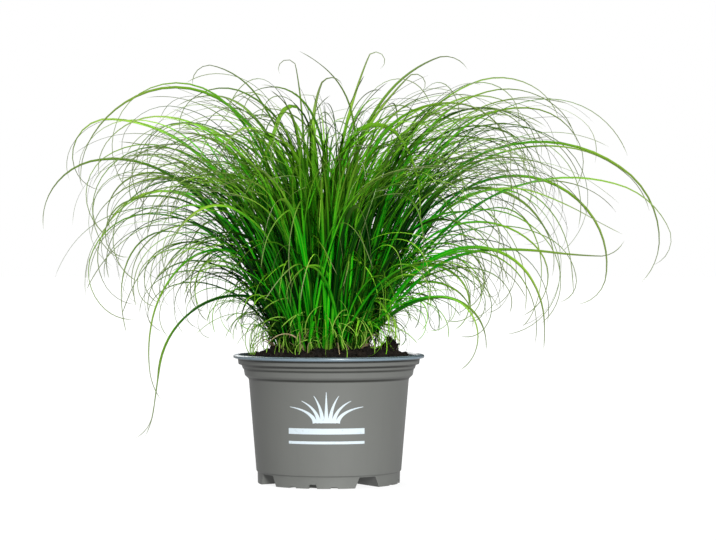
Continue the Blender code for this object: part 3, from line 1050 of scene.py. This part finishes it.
def crumb_tree():
    """Scatters lumpy crumbs over the surface that faces up."""
    sockets = [
        ("Geometry", "Geometry"),
        ("Density", "Float", 100000.0),
        ("Smallest", "Float", 0.0004),
        ("Largest", "Float", 0.002),
        ("Seed", "Int", 3),
        ("Material", "Material"),
    ]
    tree, given, end = group_tree("peat crumbs", "GeometryNodeTree", sockets, [("Geometry", "Geometry")])
    ground, density, smallest, largest, seed, material = given.values()

    def node(kind, **inputs):
        return made(tree, "GeometryNode" + kind, {name.replace("_", " "): value for name, value in inputs.items()})

    def dice(low, high, seed, kind="FLOAT"):
        return made(tree, "FunctionNodeRandomValue", {0: low, 1: high, "Seed": seed}, data_type=kind)

    upward = node("InputNormal").parts()[2]
    x, y, z = node("InputPosition").parts()
    across = (x**2.0 + y**2.0) ** 0.5
    near = 0.0
    for at_x, at_y, wide, _ in HEAPS:
        away = (x - at_x * MM) ** 2.0 + (y - at_y * MM) ** 2.0
        near = (away * (-1.0 / (wide * MM) ** 2)).math("EXPONENT") + near
    bed = upward.over(0.35) * z.over(CRUMBS_ABOVE * MM) * (1.0 - across.over(CRUMBS_WITHIN * MM))
    density = density * (1.0 + 1.5 * near)
    spots = node("DistributePointsOnFaces", Mesh=ground, Selection=bed, Density=density, Seed=seed)
    lump = node("MeshIcoSphere", Radius=1.0, Subdivisions=2)
    size = blend(dice(0.0, 1.0, seed) ** 2.4, smallest, largest)
    stretch = dice((0.6, 0.6, 0.45), (1.5, 1.1, 0.9), seed + 1.0, "FLOAT_VECTOR")
    turn = dice((0.0, 0.0, 0.0), (6.283, 6.283, 6.283), seed + 2.0, "FLOAT_VECTOR")
    scale = stretch.vector_math("SCALE", size)
    placed = node("InstanceOnPoints", Points=spots, Instance=lump, Scale=scale, Rotation=turn)
    solid = node("RealizeInstances", Geometry=placed)
    wobble = made(tree, "ShaderNodeTexNoise", {"Vector": node("InputPosition"), "Scale": 900.0, "Detail": 2.0})
    push = wobble.other("Color").vector_math("SUBTRACT", (0.5, 0.5, 0.5)).vector_math("SCALE", 0.0011)
    rough = node("SetPosition", Geometry=solid, Offset=push)
    smooth = node("SetShadeSmooth", Geometry=rough, Shade_Smooth=True)
    plug(node("SetMaterial", Geometry=smooth, Material=material), end["Geometry"])
    return tree


def uneven(x, y, relief):
    """How far the peat's surface stands off its smooth form, in metres."""
    heaps = sum(rise * MM * math.exp(-((x / MM - at_x) ** 2 + (y / MM - at_y) ** 2) / wide**2)
                for at_x, at_y, wide, rise in HEAPS)
    broad = noise.noise(Vector((x, y, 0.3)) * 55.0)
    fine = noise.turbulence(Vector((x, y, 0.7)) * 210.0, 4, False) - 0.6
    calm = min(1.0, max(0.1, (0.058 - math.hypot(x, y)) / 0.008))
    return heaps + calm * relief * (0.7 * broad + 0.9 * fine)


class GRASSPOT_OT_peat(bpy.types.Operator):
    """Make the peat, its crumbs and the loose clod"""

    bl_idname = "grass_pot.peat"
    bl_label = "Peat"

    def execute(self, context):
        settings = context.scene.grass_pot_peat
        material = peat_material(settings)
        top = [(PEAT_EDGE * i / PEAT_RINGS, None) for i in range(1, PEAT_RINGS + 1)]
        body = bmesh.new()
        loops = []
        for radius, height in [*top, *PEAT_SIDE]:
            loop = []
            for i in range(PEAT_FACETS):
                turn = 2 * math.pi * i / PEAT_FACETS
                x, y = radius * MM * math.cos(turn), radius * MM * math.sin(turn)
                z = height * MM if height else peat_height(radius) * MM + uneven(x, y, settings.relief)
                loop.append(body.verts.new((x, y, z)))
            loops.append(loop)
        middle = body.verts.new((0.0, 0.0, peat_height(0.0) * MM + uneven(0.0, 0.0, settings.relief)))
        for i in range(PEAT_FACETS):
            after = (i + 1) % PEAT_FACETS
            body.faces.new((middle, loops[0][i], loops[0][after]))
            for inner, outer in zip(loops, loops[1:]):
                body.faces.new((inner[i], outer[i], outer[after], inner[after]))
        body.faces.new(reversed(loops[-1]))
        peat = piece_from("peat", body, material)
        peat.data.shade_smooth()
        finish_piece(peat, "peat", "soil")

        crumbs = add_object("peat_crumbs", peat.data.copy())
        run_nodes(crumbs, crumb_tree(), Density=settings.crumbs, Smallest=settings.smallest,
                  Largest=settings.largest, Seed=3, Material=material)
        finish_piece(crumbs, "peat")

        lump = bmesh.new()
        bmesh.ops.create_icosphere(lump, subdivisions=5, radius=1.0)
        base = Vector([length * MM for length in CLOD_PLACE])
        for corner in lump.verts:
            way = corner.co.copy()
            swell = 0.58 + 0.6 * noise.noise(way * 2.1) + 0.5 * noise.turbulence(way * 3.6, 4, True)
            spike = 0.0046 * max(0.0, way.dot(Vector((0.06, 0.0, 0.998)))) ** 22
            low = 0.0038 * max(0.0, -way.z)
            flat = Vector((way.x * (0.0062 + low), way.y * (0.0056 + low), way.z * 0.0048))
            corner.co = base + flat * swell + way * spike * (0.8 + 0.5 * noise.noise(way * 9.0))
        clod = piece_from("clod", lump, material)
        clod.data.shade_smooth()
        finish_piece(clod, "peat", "peat_clod")
        return {"FINISHED"}


class GRASSPOT_OT_tufts(bpy.types.Operator):
    """Grow every tuft of living blades"""

    bl_idname = "grass_pot.tufts"
    bl_label = "Tufts"

    def execute(self, context):
        settings = context.scene.grass_pot_clump
        tree = blade_tree()
        fibres = fibre_group()
        living = blade_material("living grass", settings, fibres)
        young = blade_material("young grass", settings, fibres, 0.75)
        for ring, leaders in LEADERS.items():
            count = getattr(settings, f"{ring}_blades")
            for number, leader in enumerate(leaders, 1):
                dice = random.Random(f"{settings.seed} {ring} {number}")
                blades = tuft_blades(ring, number, leader, count, settings, dice)
                tuft = grow(f"blades_{ring}_{number:02d}", blades, tree, settings, living)
                finish_piece(tuft, "blades", f"tuft_{ring}_{number:02d}")
        dry = dry_material(settings, fibres)
        for name, count, habit, material in (
            ("young_curls", 230, (32, 88, (70, 150), (0.6, 1.1), 105), young),
            ("fallen_blades", 22, (20, 45, (90, 160), (0.7, 1.2), 60), dry),
            ("old_sheaths", 40, (8, 18, (0, 40), (1.4, 2.4), 40), dry),
        ):
            dice = random.Random(f"{settings.seed} {name}")
            finish_piece(grow(name, litter_blades(count, dice, *habit), tree, settings, material), "blades")
        return {"FINISHED"}


class GRASSPOT_OT_stage(bpy.types.Operator):
    """Make the floor, the soft light and the camera"""

    bl_idname = "grass_pot.stage"
    bl_label = "Stage"

    def execute(self, context):
        settings = context.scene.grass_pot_stage
        white = (1.0, 1.0, 1.0)
        shape = bmesh.new()
        bmesh.ops.create_circle(shape, cap_ends=True, segments=64, radius=40.0)
        bmesh.ops.translate(shape, verts=shape.verts, vec=(0.0, 0.0, -0.0001))
        material, tree, shader = new_material("plain floor")
        seen = made(tree, "ShaderNodeLightPath").other("Is Camera Ray")
        surface(shader, Base_Color=settings.floor_colour, Roughness=0.9, Specular_IOR_Level=0.2,
                Emission_Color=white, Emission_Strength=blend(seen, settings.bounce, settings.glow))
        floor = piece_from("floor", shape, material)

        world = bpy.data.worlds.new("studio")
        world.use_nodes = True
        context.scene.world = world
        seen = made(world.node_tree, "ShaderNodeLightPath").other("Is Camera Ray")
        surface(world.node_tree.nodes["Background"], Color=white, Strength=blend(seen, settings.fill, 1.0))

        for name, strength, spread, turn in (
            ("key", settings.key, 14, (68, 0, 13)),
            ("top", settings.key * 0.60, 40, (14, 0, -20)),
            ("back", settings.key * 0.45, 40, (-58, 0, 20)),
        ):
            lamp = bpy.data.lights.new(name, "SUN")
            lamp.energy = strength
            lamp.angle = math.radians(spread)
            add_object(name, lamp).rotation_euler = [math.radians(a) for a in turn]

        camera = bpy.data.cameras.new("camera")
        camera.lens = settings.lens
        camera.sensor_width = 36.0
        viewer = add_object("camera", camera)
        viewer.location = (settings.side_step, -settings.distance, settings.eye_height)
        viewer.rotation_euler = (math.radians(90), 0.0, 0.0)
        context.scene.camera = viewer
        context.scene.view_settings.view_transform = "Standard"
        return {"FINISHED"}


class GRASSPOT_PT_panel(bpy.types.Panel):
    """Lists the steps that make the grass pot"""

    bl_label = "Grass Pot"
    bl_idname = "GRASSPOT_PT_panel"
    bl_space_type = "VIEW_3D"
    bl_region_type = "UI"
    bl_category = "Grass Pot"

    def draw(self, context):
        for name, (_, operator) in STEPS.items():
            box = self.layout.box()
            box.operator(operator.bl_idname)
            settings = getattr(context.scene, name)
            for label in settings.__annotations__:
                box.prop(settings, label)


STEPS = {
    "grass_pot_pot": (PotSettings, GRASSPOT_OT_pot),
    "grass_pot_peat": (PeatSettings, GRASSPOT_OT_peat),
    "grass_pot_clump": (ClumpSettings, GRASSPOT_OT_tufts),
    "grass_pot_stage": (StageSettings, GRASSPOT_OT_stage),
}


def register():
    for name, (group, operator) in STEPS.items():
        bpy.utils.register_class(group)
        setattr(bpy.types.Scene, name, bpy.props.PointerProperty(type=group))
        bpy.utils.register_class(operator)
    bpy.utils.register_class(GRASSPOT_PT_panel)


def unregister():
    bpy.utils.unregister_class(GRASSPOT_PT_panel)
    for name, (group, operator) in STEPS.items():
        bpy.utils.unregister_class(operator)
        delattr(bpy.types.Scene, name)
        bpy.utils.unregister_class(group)


def main():
    register()
    for make in (bpy.ops.grass_pot.pot, bpy.ops.grass_pot.peat, bpy.ops.grass_pot.tufts, bpy.ops.grass_pot.stage):
        make()


if __name__ == "__main__":
    main()
